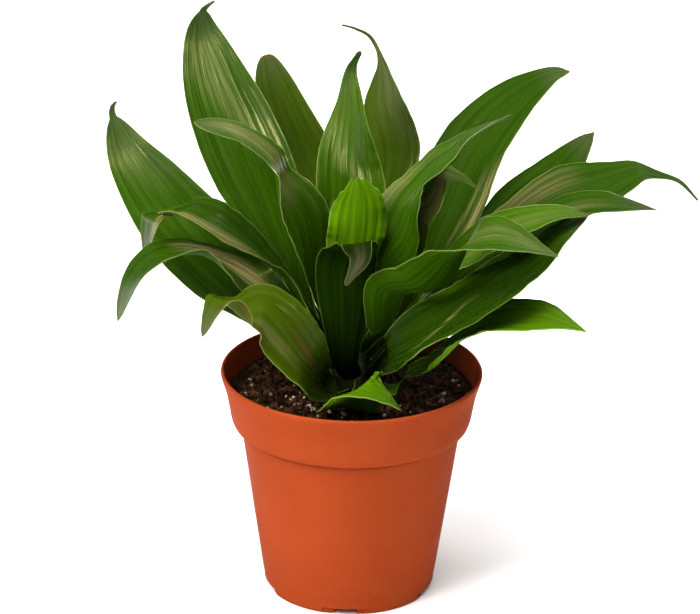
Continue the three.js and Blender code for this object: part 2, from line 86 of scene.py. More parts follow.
# azimuth in degrees round the stem; start is the height of the clasp; path is the midrib as
# (outwards, sideways, up); width, belly and drip set the outline; roll and cup are degrees at even
# stations; wave is (height, count, phase) of the margins' ripple; neck is the half-width at the clasp;
# full is the fullness of the outline beyond the belly, and the less it is, the fuller
LEAVES = [
    dict(name="leaf_left_wide", azimuth=160, start=85, width=37, belly=0.43, drip=0.94,
         path=[(22, 0, 97), (39, 0, 113), (58, 0, 130), (74, 1, 145), (87, 1, 160),
               (96, 2, 173), (101, 4, 187), (101, 5, 192), (99, 6, 195)],
         roll=[0, -25, -45, -55, -60], cup=[40, 36, 24, 16], neck=4.3),
    dict(name="leaf_left_tall", azimuth=141, start=94, width=36, belly=0.54, drip=0.95,
         path=[(16, 1, 102), (30, 0, 123), (45, 1, 152), (57, 4, 178), (67, 6, 200),
               (73, 7, 219), (72, 8, 229), (70, 8, 232), (66, 8, 235)],
         roll=[-8, -15, -35, -35], neck=2.8),
    dict(name="leaf_left_inner", azimuth=186, start=118, width=27, belly=0.42, drip=0.99,
         path=[(14, 4, 123), (16, 0, 133), (21, 1, 157), (29, 4, 171),
               (33, 6, 184), (46, 4, 195), (63, 3, 200)],
         roll=[-31, -38, -41, -19, -10, -35], cup=[45, 36, 24, 16], neck=5.3),
    dict(name="leaf_left_arch_upper", azimuth=184, start=98, width=26, belly=0.67, drip=0.99,
         path=[(15, 6, 114), (26, 1, 131), (40, 1, 146), (54, 1, 156),
               (65, -3, 160), (73, -7, 157), (79, -4, 156), (82, -2, 140)],
         roll=[-12, 0, 2, -19, 0, -4], cup=[35, 36, 24, 16], neck=4.8),
    dict(name="leaf_left_arch_lower", azimuth=197, start=94, width=28, belly=0.67, drip=0.99,
         path=[(20, 1, 104), (23, -1, 117), (40, 3, 133), (51, 1, 142),
               (62, -2, 148), (76, -1, 149), (88, 0, 142), (97, 5, 126)],
         roll=[-4, -49, -46, 1, 6, 2], cup=[5, 36, 24, 16], neck=3.3),
    dict(name="leaf_front_left", azimuth=227, start=87, width=29, belly=0.47, drip=0.99,
         path=[(14, -1, 88), (30, 7, 102), (39, 8, 113), (49, 0, 130),
               (57, -6, 131), (66, -8, 139), (76, -8, 127)],
         roll=[-15, -78, -72, -78, -10, 3], cup=[60, 34, 24, 16], neck=7.5),
    dict(name="leaf_front_short", azimuth=281, start=88, width=30, belly=0.57, drip=0.99,
         path=[(19, -1, 87), (25, -2, 86), (34, -7, 95), (39, -5, 101),
               (42, -1, 101), (45, 6, 98), (46, 11, 94)],
         roll=[-68, -39, 14, 50, 39, 30], cup=[35, 20, 14, 10], wave=[0.4, 3, 0], neck=3.9),
    dict(name="leaf_centre_folded", azimuth=262, start=92, width=24, belly=0.52, drip=0.99,
         path=[(16, -1, 103), (16, -1, 124), (16, -1, 142), (23, 3, 151),
               (27, 6, 156), (32, 6, 159), (33, 7, 153), (35, 2, 143)],
         roll=[0, 3, 5, 0, 23, -7], cup=[55, 30, 12, 4], neck=6, full=1.29),
    dict(name="leaf_centre_bright", azimuth=277, start=111, width=24, belly=0.68, drip=1,
         path=[(7, 0, 119), (9, -1, 129), (9, -2, 141),
               (10, 0, 153), (10, 1, 167), (11, 0, 179)],
         roll=[7, -5, 1, 7, 0, -5], cup=[35, 40, 18, 10], wave=[1, 4, 0], neck=5.5, full=0.59),
    dict(name="leaf_centre_upright", azimuth=95, start=114, width=30, belly=0.42, drip=0.99,
         path=[(10, 3, 125), (12, 4, 142), (14, 1, 159), (18, 1, 177),
               (21, 0, 196), (22, 0, 211), (17, -3, 221)],
         roll=[-4, 0, 5, -27, 12], full=1.81),
    dict(name="leaf_back_blunt", azimuth=116, start=101, width=25, belly=0.56, drip=1,
         path=[(15, -1, 110), (26, -5, 128), (39, -7, 146), (51, -4, 162),
               (61, 1, 179), (70, 3, 193), (75, 4, 203)],
         roll=[0, -10, -20, -30], neck=3.8),
    dict(name="leaf_back_hooked", azimuth=72, start=99, width=22, belly=0.69, drip=0.88,
         path=[(21, -1, 113), (31, -3, 130), (40, -3, 151), (49, -3, 170), (52, 3, 188),
               (54, 6, 203), (54, 11, 214), (52, 17, 218), (49, 22, 220)],
         roll=[-2, -1, 0, -9, -24, 0], cup=[35, 36, 24, 16], neck=4.3, full=2.04),
    dict(name="leaf_right_tall", azimuth=45, start=93, width=32, belly=0.54, drip=0.99,
         path=[(18, -1, 102), (30, -2, 117), (44, -1, 134), (57, 0, 152),
               (70, 1, 169), (86, -2, 184), (100, -10, 195), (107, -16, 198)],
         roll=[9, 24, 31, 14, 12, -9], neck=4.2, full=0.65),
    dict(name="leaf_right_twisted", azimuth=-10, start=121, width=30, belly=0.43, drip=0.99,
         path=[(10, 0, 121), (13, 0, 141), (19, -3, 153), (24, -3, 167),
               (30, -2, 178), (40, -4, 188), (46, -2, 196), (60, 9, 202)],
         roll=[133, 84, 52, 9, 10, -3], cup=[25, 36, 24, 16], neck=3.8, full=0.7),
    dict(name="leaf_right_curled", azimuth=6, start=109, width=25, belly=0.64, drip=0.99,
         path=[(14, -1, 116), (18, -5, 138), (22, -4, 146), (23, -4, 160),
               (29, -6, 169), (34, -5, 177), (41, -6, 176), (47, -10, 173)],
         roll=[-16, 20, 37, 30, 17, 3], cup=[15, 30, 10, 2], neck=3.4, full=1.42),
    dict(name="leaf_right_blunt", azimuth=32, start=85, width=29, belly=0.68, drip=0.99,
         path=[(18, -1, 95), (34, -1, 109), (52, -2, 122), (71, -3, 138),
               (87, -6, 154), (99, -9, 168), (107, -11, 178)],
         roll=[2, 25, 45, 51, 16, 4], neck=4.3, full=0.69),
    dict(name="leaf_right_long", azimuth=12, start=97, width=34, belly=0.63, drip=0.92,
         path=[(14, 0, 104), (30, 1, 113), (47, 2, 132), (64, 0, 147), (81, -4, 159),
               (99, -6, 166), (114, -4, 171), (123, -3, 169), (131, -7, 167), (137, -13, 161)],
         roll=[6, 7, 9, 12, 15, 15], cup=[40, 36, 24, 16], neck=3.8, full=1.46),
    dict(name="leaf_right_broad", azimuth=-22, start=90, width=38, belly=0.52, drip=0.99,
         path=[(18, -5, 102), (22, -13, 108), (42, -19, 124), (62, -13, 139),
               (75, 0, 149), (84, 8, 161), (92, 15, 168)],
         roll=[14, 38, 15, 9, 9, 7], cup=[35, 32, 20, 16], neck=6.2, full=0.68),
    dict(name="leaf_right_mid", azimuth=-14, start=101, width=21, belly=0.61, drip=0.99,
         path=[(25, 0, 121), (26, 0, 123), (40, -1, 142), (54, -1, 154),
               (67, -2, 162), (81, -2, 168), (94, -2, 169)],
         roll=[-4, 7, 16, 27, 21, -9], cup=[35, 36, 24, 16], neck=4.4, full=0.51),
    dict(name="leaf_right_slim", azimuth=-3, start=113, width=20, belly=0.66, drip=0.99,
         path=[(13, 8, 117), (23, 11, 123), (44, 1, 139), (61, -1, 151),
               (77, -3, 162), (91, -3, 167), (105, -4, 168), (119, 0, 165)],
         roll=[-55, 5, -12, -13, 14, -8], cup=[5, 36, 24, 16], neck=2.4, full=0.61),
    dict(name="leaf_right_front", azimuth=-40, start=104, width=29, belly=0.58, drip=0.98,
         path=[(19, -3, 116), (20, -5, 120), (26, -9, 136), (40, -7, 142),
               (54, -4, 158), (71, 1, 168), (92, 12, 162)],
         roll=[19, -29, -42, -19, 29, 14], cup=[45, 36, 24, 16], neck=6, full=1.05),
    dict(name="leaf_right_low", azimuth=-28, start=86, width=28, belly=0.8, drip=0.99,
         path=[(19, 4, 86), (25, 0, 96), (36, -1, 102), (45, -4, 111),
               (55, -5, 122), (70, -6, 130), (87, -6, 133), (104, -4, 132)],
         roll=[26, 12, 9, 0, -3, -27], cup=[30, 36, 24, 16], neck=3.4, full=0.78),
    dict(name="leaf_rear_right", azimuth=66, start=88, width=27, belly=0.58, drip=0.96,
         path=[(15, 0, 96), (35, 1, 115), (60, 2, 132), (80, 1, 135), (98, -2, 120)],
         roll=[0, 0], neck=4.3),
    dict(name="leaf_rear_centre", azimuth=100, start=91, width=28, belly=0.58, drip=0.96,
         path=[(15, 0, 103), (36, 1, 123), (62, 2, 144), (85, 1, 146), (104, -2, 130)],
         roll=[0, 0], neck=3.9),
    dict(name="leaf_rear_left", azimuth=129, start=88, width=27, belly=0.58, drip=0.96,
         path=[(15, 0, 96), (35, 1, 114), (60, 2, 131), (80, 1, 134), (98, -2, 119)],
         roll=[0, 0], neck=4.3),
    dict(name="leaf_young_left", azimuth=215, start=124, width=13, belly=0.58, drip=0.96,
         path=[(7, 0, 133), (7, 0, 149), (9, 0, 160), (10, 0, 168)],
         roll=[0, 0]),
    dict(name="leaf_young_right", azimuth=60, start=126, width=12, belly=0.58, drip=0.96,
         path=[(7, 0, 135), (7, 0, 150), (8, 0, 158), (9, 0, 166)],
         roll=[0, 0]),
]

# ---------------- finer detail of this scene

SEED = 4
ANY_PHASE = (0, 6.28)
ON_AXIS = 1e-6  # a smaller radius counts as zero

POT_SIDES = 240
ROUNDING_STEPS = 4
ROUNDING_SHARE = 0.4  # the most that a rounded corner takes of the edges beside it
OUTER_ROUNDING = 1.6
INNER_ROUNDING = 2.5
FOOT_FLARE = (0.7, 1.2)  # outwards and up from the foot's edge
COLLAR_TURN = 4.1  # height of the step at the collar's underside
LIP = 1.6  # thickness of the rim
LEDGE_HEIGHT = 6.6  # a faint parting ledge round the foot
LEDGE = 0.22
POT_SHARP_ABOVE = 25
NOTCH_CUT = (6, 2)  # how far an opening's cutter reaches in and out from the foot's radius
RECESS_CUT = 4  # how far a recess's cutter reaches out from it
CUTTER_FOOT = -1.0
DRAIN_CUT = (0.5, 7)  # the heights between which a drain hole's cutter reaches
DRAIN_SIDES = 40

SOIL_SIDES = 220
SOIL_RINGS = 70
SOIL_SETTLING = 0.2
SOIL_SWELLS = [(16, 3.0, 1.1), (5, 7.0, 0.9), (1.7, 11.0, 0.5)]  # (length, slice of the noise, height)

# Grains on the soil: size is (least, most), and a few grow by up to GRAIN_EXTRA, the fewer the higher
# rarity is; sink is the middle's height over the soil in sizes; dents and squash set the form; heaped is
# the share at the front left, where the grains are larger
CRUMBS = dict(count=5200, size=(0.22, 0.70), rarity=7, sink=(-0.2, 0.5), fineness=2, dents=0.9,
              squash=0.45, heaped=0.0)
PERLITE = dict(count=130, size=(0.40, 0.85), rarity=5, sink=(0.0, 0.5), fineness=3, dents=0.8,
               squash=0.6, heaped=0.28)
GRAIN_EXTRA = 1.6
GRAIN_CLEARANCE = (2, 1.4)  # from the stem and from the pot's wall
HEAP_AZIMUTHS = (185, 255)
LESS_OUTSIDE_HEAP = 0.75  # size of the grains outside the heap, as a share
DENT_FREQUENCY = 1.6
GRAIN_TO_GRAIN = 9.7  # step through the noise from one grain's dents to the next one's

STEM_SIDES = 64
STEM_STEP = 0.8
STEM_INSET = 0.15
LEAF_SCAR = 0.12  # height of the ring that each old leaf left
LEAF_SCAR_SPACING = 3.2

STATIONS = 84  # steps along a blade
ACROSS = 40  # steps across it
MARGIN_CROWDING = 1.15  # draws the steps across closer together towards the margins
MIDRIB_SAMPLES = 801
DIRECTION_STEP = 1e-4  # to both sides of a station, for the direction there
NEARLY_FLAT = 1e-4
LEAST_CUP = 0.01  # stands in for a cup that is nearly flat, in radians
BLADE_MIDDLE = 0.62  # leaf thickness along the middle
BLADE_MARGIN = 0.34
MARGIN_TAPER = 3.5  # how far in from the margin the blade has its full thickness
OTHER_MARGIN = 1.7  # by how much the ripple of one margin leads the other's, in radians
FLUTTER = 0.16
FLUTTER_COUNTS = (7, 11, 17)
RIB_SPACING = 3.6  # between the raised lengthwise ribs
RIB_HEIGHT = 0.20
RIBS = [(0.60, 1), (0.30, 1.63), (0.22, 2.71)]  # (share of the height, multiple of the ribs' number)
CHANNEL = (1.3, 1.1)  # depth of the channel over the midrib, in rib heights, and its half-width
RAGGED_TIP = {"leaf_centre_bright": 1.6}  # depth of the teeth at a torn tip
TOOTH = 3.4  # width of a tooth
TOOTH_UNEVENNESS = (0.9, 0.7)
TEAR = (0.84, 0.12)  # where the teeth start along the blade, and over which share they grow

# How each leaf differs from the plain green: (brightness, share of yellow, share of brown, gloss); the
# shaded tone is painted shade, for a leaf that stands in the shadow of those above it
TONES = {
    "shaded": (0.17, 0.0, 0.0, 0.04),
    "deep": (0.57, 0.03, 0.0, 0.15),
    "olive": (0.72, 0.08, 0.30, 0.20),
    "plain": (0.84, 0.04, 0.0, 0.32),
    "fresh": (1.05, 0.17, 0.0, 0.36),
    "golden": (0.56, 0.32, 0.13, 0.12),
    "bright": (1.70, 0.42, 0.0, 0.10),
}
LEAVES_OF_TONE = {
    "shaded": ["leaf_centre_folded"],
    "deep": ["leaf_left_arch_upper", "leaf_left_arch_lower", "leaf_rear_left", "leaf_rear_centre",
             "leaf_rear_right", "leaf_right_broad", "leaf_right_tall", "leaf_right_blunt",
             "leaf_right_long", "leaf_right_slim"],
    "olive": ["leaf_back_blunt", "leaf_back_hooked"],
    "fresh": ["leaf_centre_upright", "leaf_right_mid", "leaf_young_left", "leaf_young_right"],
    "golden": ["leaf_front_left"],
    # painted light: the bright tone lifts leaf_right_low and leaf_right_curled, which lie in shade
    "bright": ["leaf_centre_bright", "leaf_front_short", "leaf_right_low", "leaf_right_curled"],
}
LEAF_TONE = {leaf: tone for tone, leaves in LEAVES_OF_TONE.items() for leaf in leaves}

# Streaks: (tint, (along, across) of one end, of the other end, half-width across, strength),
# with along 0 at the clasp and 1 at the tip, and across -1 to 1 from margin to margin. The brown
# streaks are discoloured; the straw-and-sheen ones are pale straw, partly discolouration and partly
# painted sheen where the leaves catch the light
STREAKS = {
    "leaf_left_arch_lower": [("straw_and_sheen", (0.36, -0.10), (0.66, -0.45), 0.32, 1.0)],
    "leaf_left_arch_upper": [("straw_and_sheen", (0.46, 0.70), (0.96, 0.70), 0.45, 0.55)],
    "leaf_front_left": [("brown", (0.60, 0.95), (0.88, 0.95), 0.22, 0.9),
                        ("brown", (0.26, -0.15), (0.52, -0.35), 0.12, 0.6),
                        ("straw_and_sheen", (0.44, 0.30), (0.70, 0.45), 0.20, 0.35)],
    "leaf_left_inner": [("straw_and_sheen", (0.52, -0.25), (0.94, -0.20), 0.45, 0.45)],
    "leaf_right_tall": [("straw_and_sheen", (0.34, -0.72), (0.62, -0.90), 0.10, 0.75),
                        ("straw_and_sheen", (0.40, -0.45), (0.58, -0.60), 0.05, 0.5)],
    "leaf_right_broad": [("straw_and_sheen", (0.36, -0.32), (0.54, 0.28), 0.05, 0.7)],
    "leaf_right_twisted": [("straw_and_sheen", (0.40, 0.80), (0.60, 0.85), 0.16, 0.45)],
    "leaf_centre_folded": [("straw_and_sheen", (0.86, 0.1), (0.97, 0.1), 0.35, 0.35)],
    "leaf_right_front": [("straw_and_sheen", (0.66, 0.30), (0.95, 0.05), 0.35, 0.22)],
    "leaf_right_mid": [("straw_and_sheen", (0.45, -0.10), (0.90, 0.10), 0.40, 0.20)],
    "leaf_right_long": [("straw_and_sheen", (0.46, 0.85), (0.64, 0.65), 0.32, 0.42)],
    "leaf_right_slim": [("straw_and_sheen", (0.50, 0.0), (0.84, 0.0), 0.30, 0.25)],
    "leaf_right_blunt": [("straw_and_sheen", (0.36, 0.60), (0.60, 0.50), 0.26, 0.35)],
    "leaf_back_hooked": [("straw_and_sheen", (0.66, 0.0), (0.92, 0.0), 0.60, 0.16)],
    "leaf_right_curled": [("straw_and_sheen", (0.55, -0.35), (0.86, -0.45), 0.50, 1.0)],
}
STREAK_EDGE = 1.5  # half-widths from a streak's middle to where it ends
STREAK_FADE = 0.12  # share of the leaf over which a streak fades in and out


# ---------------- mesh helpers

def add_object(name, data):
    made = bpy.data.objects.new(name, data)
    bpy.context.scene.collection.objects.link(made)
    return made


def add_piece(name, points, faces, materials, node, sharp_above, face_material=None):
    """A piece from points in millimetres about the pot's axis, in place of the CAD node, if one is given.

    Edges stay sharp where the faces beside them turn by more than sharp_above degrees.
    """
    mesh = bpy.data.meshes.new(name)
    mesh.from_pydata(((np.asarray(points, float) + POT_AXIS) * MM).tolist(), [], faces)
    for material in materials:
        mesh.materials.append(material)
    if face_material is not None:
        mesh.polygons.foreach_set("material_index", face_material)
    mesh.shade_smooth()
    mesh.set_sharp_from_angle(angle=math.radians(sharp_above))
    mesh.update()
    piece = add_object(name, mesh)
    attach(piece, "root")
    if node:
        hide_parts(node)
    return piece


def revolve(profile, sides):
    """Points and faces of a closed solid of revolution from (radius, height) pairs, axis to axis."""
    points, faces, rings = [], [], []
    for radius, height in profile:
        if radius < ON_AXIS:
            rings.append([len(points)] * sides)
            points.append((0.0, 0.0, height))
            continue
        rings.append(list(range(len(points), len(points) + sides)))
        for i in range(sides):
            turn = 2 * math.pi * i / sides
            points.append((radius * math.cos(turn), radius * math.sin(turn), height))
    for low, high in zip(rings, rings[1:]):
        for i in range(sides):
            j = (i + 1) % sides
            face = [low[i], low[j], high[j], high[i]]
            face = [v for k, v in enumerate(face) if v != face[k - 1]]
            if len(face) > 2:
                faces.append(face)
    return points, faces


def rounded(profile, radius):
    """The profile with the corners between its two ends rounded off."""
    corners = [np.array(p, float) for p in profile]
    out = [corners[0]]
    for before, here, after in zip(corners, corners[1:], corners[2:]):
        a, b = before - here, after - here
        reach = min(radius, ROUNDING_SHARE * np.linalg.norm(a), ROUNDING_SHARE * np.linalg.norm(b))
        start = here + reach * a / np.linalg.norm(a)
        end = here + reach * b / np.linalg.norm(b)
        for k in range(ROUNDING_STEPS + 1):
            t = k / ROUNDING_STEPS
            out.append((1 - t) ** 2 * start + 2 * t * (1 - t) * here + t ** 2 * end)
    out.append(corners[-1])
    return [(float(p[0]), float(p[1])) for p in out]


# ---------------- material helpers

class Shader:
    """A node material with short calls for the nodes used here. A value is a number or a node's output."""

    SOCKETS = {
        "color": "Base Color", "roughness": "Roughness", "normal": "Normal",
        "specular": "Specular IOR Level", "tint": "Specular Tint",
        "subsurface": "Subsurface Weight", "radius": "Subsurface Radius", "reach": "Subsurface Scale",
    }
    COLOR_MIX_INPUTS, COLOR_MIX_OUTPUT = (0, 6, 7), 2

    def __init__(self, name):
        self.material = bpy.data.materials.new(name)
        self.material.use_nodes = True
        self.tree = self.material.node_tree
        self.principled = self.tree.nodes["Principled BSDF"]

    def node(self, kind, **values):
        made = self.tree.nodes.new(kind)
        for key, value in values.items():
            setattr(made, key, value)
        return made

    def link(self, source, target):
        self.tree.links.new(source, target)

    def feed(self, node, index, value):
        if hasattr(value, "is_linked"):
            self.link(value, node.inputs[index])
        else:
            node.inputs[index].default_value = value

    def math(self, operation, first, second=0.0):
        made = self.node("ShaderNodeMath", operation=operation)
        self.feed(made, 0, first)
        self.feed(made, 1, second)
        return made.outputs[0]

    def times(self, first, second):
        return self.math("MULTIPLY", first, second)

    def smooth(self, value, low, high, to_low=0.0, to_high=1.0):
        """A soft step from to_low, where the value is low, to to_high, where it is high."""
        made = self.node("ShaderNodeMapRange", interpolation_type="SMOOTHSTEP")
        for index, item in enumerate((value, low, high, to_low, to_high)):
            self.feed(made, index, item)
        return made.outputs[0]

    def mix(self, share, first, second):
        """The first colour where the share is 0, and the second where it is 1."""
        made = self.node("ShaderNodeMix", data_type="RGBA")
        for index, item in zip(self.COLOR_MIX_INPUTS, (share, first, second)):
            self.feed(made, index, item)
        return made.outputs[self.COLOR_MIX_OUTPUT]

    def noise(self, vector, scale, detail=3.0, roughness=0.55):
        made = self.node("ShaderNodeTexNoise")
        for socket, value in (("Vector", vector), ("Scale", scale), ("Detail", detail),
                              ("Roughness", roughness)):
            self.feed(made, socket, value)
        return made.outputs[0]

    def place(self):
        return self.node("ShaderNodeTexCoord").outputs["Object"]

    def split(self, vector):
        made = self.node("ShaderNodeSeparateXYZ")
        self.link(vector, made.inputs[0])
        return made.outputs

    def uv(self, layer):
        first, second, _ = self.split(self.node("ShaderNodeUVMap", uv_map=layer).outputs[0])
        return first, second

    def vector(self, x, y):
        made = self.node("ShaderNodeCombineXYZ")
        self.feed(made, 0, x)
        self.feed(made, 1, y)
        return made.outputs[0]

    def bump(self, height, strength, distance, normal=None):
        """A bumpy normal, over another one if it is given. The distance is in metres."""
        made = self.node("ShaderNodeBump")
        for socket, value in (("Height", height), ("Strength", strength), ("Distance", distance)):
            self.feed(made, socket, value)
        if normal is not None:
            self.link(normal, made.inputs["Normal"])
        return made.outputs[0]

    def set(self, **sockets):
        for key, value in sockets.items():
            self.feed(self.principled, self.SOCKETS[key], value)
        return self.material


# ---------------- materials

CREASE = (COLLAR_UNDERSIDE + 0.3) * MM  # height of the crease under the collar
# painted shade about the crease: full within the first distance of it, gone at the second, in metres
CREASE_SHADE_WIDTH = (0.0002, 0.0016)

DEEP_GREEN = (0.014, 0.048, 0.0005)
LIGHT_GREEN = (0.026, 0.078, 0.0008)
VEIN_GREEN = (0.046, 0.104, 0.0020)
CLOUD_GREEN = (0.014, 0.050, 0.0005)
# painted shade: the green that a blade darkens to at its clasp
CLASP_SHADE_GREEN = (0.003, 0.014, 0.0003)
YELLOW = (0.045, 0.050, 0.0)  # what a full share of yellow adds to a green
BROWN = (0.030, 0.006, 0.002)
UNDERSIDE_LIFT = 1.2
UNDERSIDE_GLOSS = 0.06
UNSCORCHED_TONE = 1.5  # leaves brighter than this have hardly a scorched tip: the young ones, and those lifted with painted light
STRAW_AND_SHEEN_STREAK = (0.25, 0.20, 0.080, 1)
BROWN_STREAK = (0.085, 0.042, 0.012, 1)
FRECKLE = (0.12, 0.050, 0.012, 1)
DULL_TIP = (0.075, 0.080, 0.040, 1)
SCORCHED_TIP = (0.10, 0.055, 0.018, 1)


def pot_material():
    """Satin moulded plastic of terracotta colour with a faint mottle, and painted shade in the crease under
    the collar.
    """
    s = Shader("terracotta_plastic")
    place = s.place()
    broad = s.noise(place, 22, 2)
    fine = s.noise(place, 900, 2, 0.6)
    color = s.mix(s.smooth(broad, 0.3, 0.7), (0.264, 0.038, 0.0086, 1), (0.297, 0.045, 0.0115, 1))
    color = s.mix(s.smooth(fine, 0.35, 0.75, 0.0, 0.25), color, (0.34, 0.060, 0.017, 1))
    # painted shade: a dark band in the colour at the height of the crease under the collar
    off_crease = s.math("ABSOLUTE", s.math("SUBTRACT", s.split(place)[2], CREASE))
    color = s.mix(s.smooth(off_crease, *CREASE_SHADE_WIDTH, 0.75, 0.0), color, (0.085, 0.011, 0.0025, 1))
    rough = s.smooth(s.noise(place, 60, 3), 0.3, 0.7, 0.50, 0.62)
    return s.set(color=color, roughness=rough, specular=0.012, tint=(1.0, 0.72, 0.5, 1),
                 normal=s.bump(broad, 0.08, 0.002, s.bump(fine, 0.10, 0.0004)))


def soil_material():
    """Damp, nearly black mix with brown fibres."""
    s = Shader("potting_mix")
    place = s.place()
    patch = s.noise(place, 260, 4, 0.65)
    fine = s.noise(place, 1400, 3, 0.6)
    color = s.mix(s.smooth(patch, 0.35, 0.7), (0.0025, 0.0010, 0.0004, 1), (0.015, 0.0062, 0.0028, 1))
    color = s.mix(s.smooth(fine, 0.55, 0.8, 0.0, 0.6), color, (0.085, 0.040, 0.020, 1))
    return s.set(color=color, roughness=s.smooth(patch, 0.3, 0.7, 0.55, 0.95), specular=0.18,
                 normal=s.bump(fine, 0.7, 0.0008, s.bump(patch, 0.8, 0.002)))


def crumb_material():
    """Bark from nearly black to brown, so that neighbouring crumbs differ."""
    s = Shader("bark_crumbs")
    place = s.place()
    patch = s.noise(place, 180, 3)
    fine = s.noise(place, 1700, 3, 0.6)
    color = s.mix(s.smooth(patch, 0.35, 0.68), (0.0020, 0.0008, 0.0003, 1), (0.060, 0.024, 0.0105, 1))
    color = s.mix(s.smooth(fine, 0.56, 0.7, 0.0, 0.6), color, (0.20, 0.10, 0.052, 1))
    return s.set(color=color, roughness=s.smooth(fine, 0.3, 0.7, 0.5, 0.9), specular=0.20,
                 normal=s.bump(fine, 0.6, 0.0006))


def perlite_material():
    """Pale stained foam glass with dark pores."""
    s = Shader("perlite")
    place = s.place()
    patch = s.noise(place, 420, 3)
    pores = s.noise(place, 2600, 2, 0.7)
    color = s.mix(s.smooth(patch, 0.35, 0.65), (0.26, 0.17, 0.11, 1), (0.60, 0.48, 0.38, 1))
    color = s.mix(s.smooth(pores, 0.56, 0.7, 0.0, 0.8), color, (0.06, 0.03, 0.018, 1))
    return s.set(color=color, roughness=0.85, normal=s.bump(pores, 0.8, 0.0006))


def stem_material():
    s = Shader("young_stem")
    mottle = s.noise(s.place(), 320, 3)
    # painted shade: the stem's greens are close to black, for the shade among the leaf bases round it
    color = s.mix(s.smooth(mottle, 0.35, 0.7), (0.006, 0.016, 0.001, 1), (0.018, 0.034, 0.003, 1))
    return s.set(color=color, roughness=0.55, normal=s.bump(mottle, 0.5, 0.001))


def leaf_material(name, tone, yellow, brown, gloss, under):
    """Waxy green blade: lengthwise bands and veins that run together at both ends, a thin pale margin,
    painted shade towards the clasp and pale streaks that are partly painted sheen.
    """
    s = Shader(name)
    share, along = s.uv("Share")
    from_margin, from_tip = s.uv("Reach")
    straw_and_sheen_mark, brown_mark = s.uv("Marks")
    place = s.place()

    def shade(green):
        lift = UNDERSIDE_LIFT if under else 1.0
        return (*(lift * (g * tone + y * yellow + b * brown) for g, y, b in zip(green, YELLOW, BROWN)), 1)

    def stripes(number, stretch, detail, roughness):
        return s.noise(s.vector(s.times(share, number), s.times(along, stretch)), 1.0, detail, roughness)

    bands = stripes(7.5, 1.1, 2.5, 0.6)
    veins = stripes(34.0, 1.7, 3.0, 0.6)
    fibres = stripes(58.0, 1.9, 2.0, 0.5)
    cloud = s.noise(place, 34, 3)
    color = s.mix(s.smooth(bands, 0.30, 0.70), shade(DEEP_GREEN), shade(LIGHT_GREEN))
    color = s.mix(s.smooth(veins, 0.42, 0.72, 0.0, 0.45), color, shade(VEIN_GREEN))
    color = s.mix(s.smooth(cloud, 0.4, 0.75, 0.0, 0.45), color, shade(CLOUD_GREEN))

    # painted shade: each blade darkens towards its clasp, where the leaves crowd round the stem, less on
    # the golden leaf
    clasp_shade = 0.45 if yellow > 0.3 else 0.88
    color = s.mix(s.smooth(along, 0.04, 0.42, clasp_shade, 0.0), color, shade(CLASP_SHADE_GREEN))
    # partly painted sheen: pale straw laid where the leaves catch the light, partly pale discolouration
    color = s.mix(s.times(straw_and_sheen_mark, s.smooth(fibres, 0.42, 0.58, 0.10, 1.0)), color, STRAW_AND_SHEEN_STREAK)
    color = s.mix(s.times(brown_mark, s.smooth(cloud, 0.35, 0.6, 0.35, 1.0)), color, BROWN_STREAK)
    freckle = s.smooth(s.noise(place, 700, 2, 0.5), 0.70, 0.74)
    freckled = s.smooth(s.noise(place, 60, 1, 0.5), 0.60, 0.66)
    color = s.mix(s.times(s.times(freckle, freckled), 0.7), color, FRECKLE)

    margin = s.times(s.smooth(from_margin, 0.14, 0.46, 0.8, 0.0), s.smooth(cloud, 0.35, 0.65, 0.45, 1.0))
    pale = 0.10 + 0.06 * tone
    color = s.mix(margin, color, (pale, 1.35 * pale, 0.28 * pale, 1))
    dullness = max(0.5 - 0.3 * tone, 0)
    color = s.mix(s.smooth(from_tip, 3.0, 16.0, dullness, 0.0), color, DULL_TIP)
    scorch = 0.8 if tone < UNSCORCHED_TONE else 0.15
    color = s.mix(s.smooth(from_tip, 0.4, 2.2, scorch, 0.0), color, SCORCHED_TIP)

    smoothest, roughest = (0.30, 0.44) if under else (0.17, 0.36)
    off_clasp = s.smooth(along, 0.06, 0.30)
    banded = s.bump(s.times(bands, off_clasp), 0.45, 0.0014)
    return s.set(color=color, roughness=s.smooth(bands, 0.38, 0.62, smoothest, roughest),
                 specular=gloss * (UNDERSIDE_GLOSS if under else 1.0), tint=(1.0, 0.97, 0.75, 1),
                 normal=s.bump(s.times(veins, off_clasp), 0.45, 0.0005, banded),
                 subsurface=0.10, radius=(0.35, 1.0, 0.08), reach=0.0016)


# ---------------- pot

COLLAR_SLOPE = (RIM_RADIUS - COLLAR_FOOT_RADIUS) / (POT_HEIGHT - COLLAR_UNDERSIDE)
WALL_SLOPE = (NECK_RADIUS - FOOT_RADIUS - FOOT_FLARE[0]) / (COLLAR_UNDERSIDE - FOOT_FLARE[1])

INSIDE = [
    (FOOT_RADIUS - WALL, FLOOR_UNDERSIDE + WALL),
    (FOOT_RADIUS + 0.2, FLOOR_UNDERSIDE + 5),
    (NECK_RADIUS - WALL, COLLAR_UNDERSIDE - 0.4),
    (NECK_RADIUS + 1.8, COLLAR_UNDERSIDE + 2.1),
    (COLLAR_FOOT_RADIUS - WALL, COLLAR_UNDERSIDE + COLLAR_TURN),
    (RIM_RADIUS - 3.5, POT_HEIGHT - 8.5),
    (RIM_RADIUS - LIP, POT_HEIGHT - 1),
]


def inside_radius(height):
    return float(np.interp(height, [z for _, z in INSIDE], [r for r, _ in INSIDE]))


def cutter(points, faces, turn):
    """A solid to cut away, turned about the pot's axis."""
    mesh = bpy.data.meshes.new("cutter")
    spin = Matrix.Rotation(turn, 3, "Z")
    placed = [(Vector(POT_AXIS) + spin @ Vector(p)) * MM for p in points]
    mesh.from_pydata([tuple(p) for p in placed], [], faces)
    return add_object("cutter", mesh)


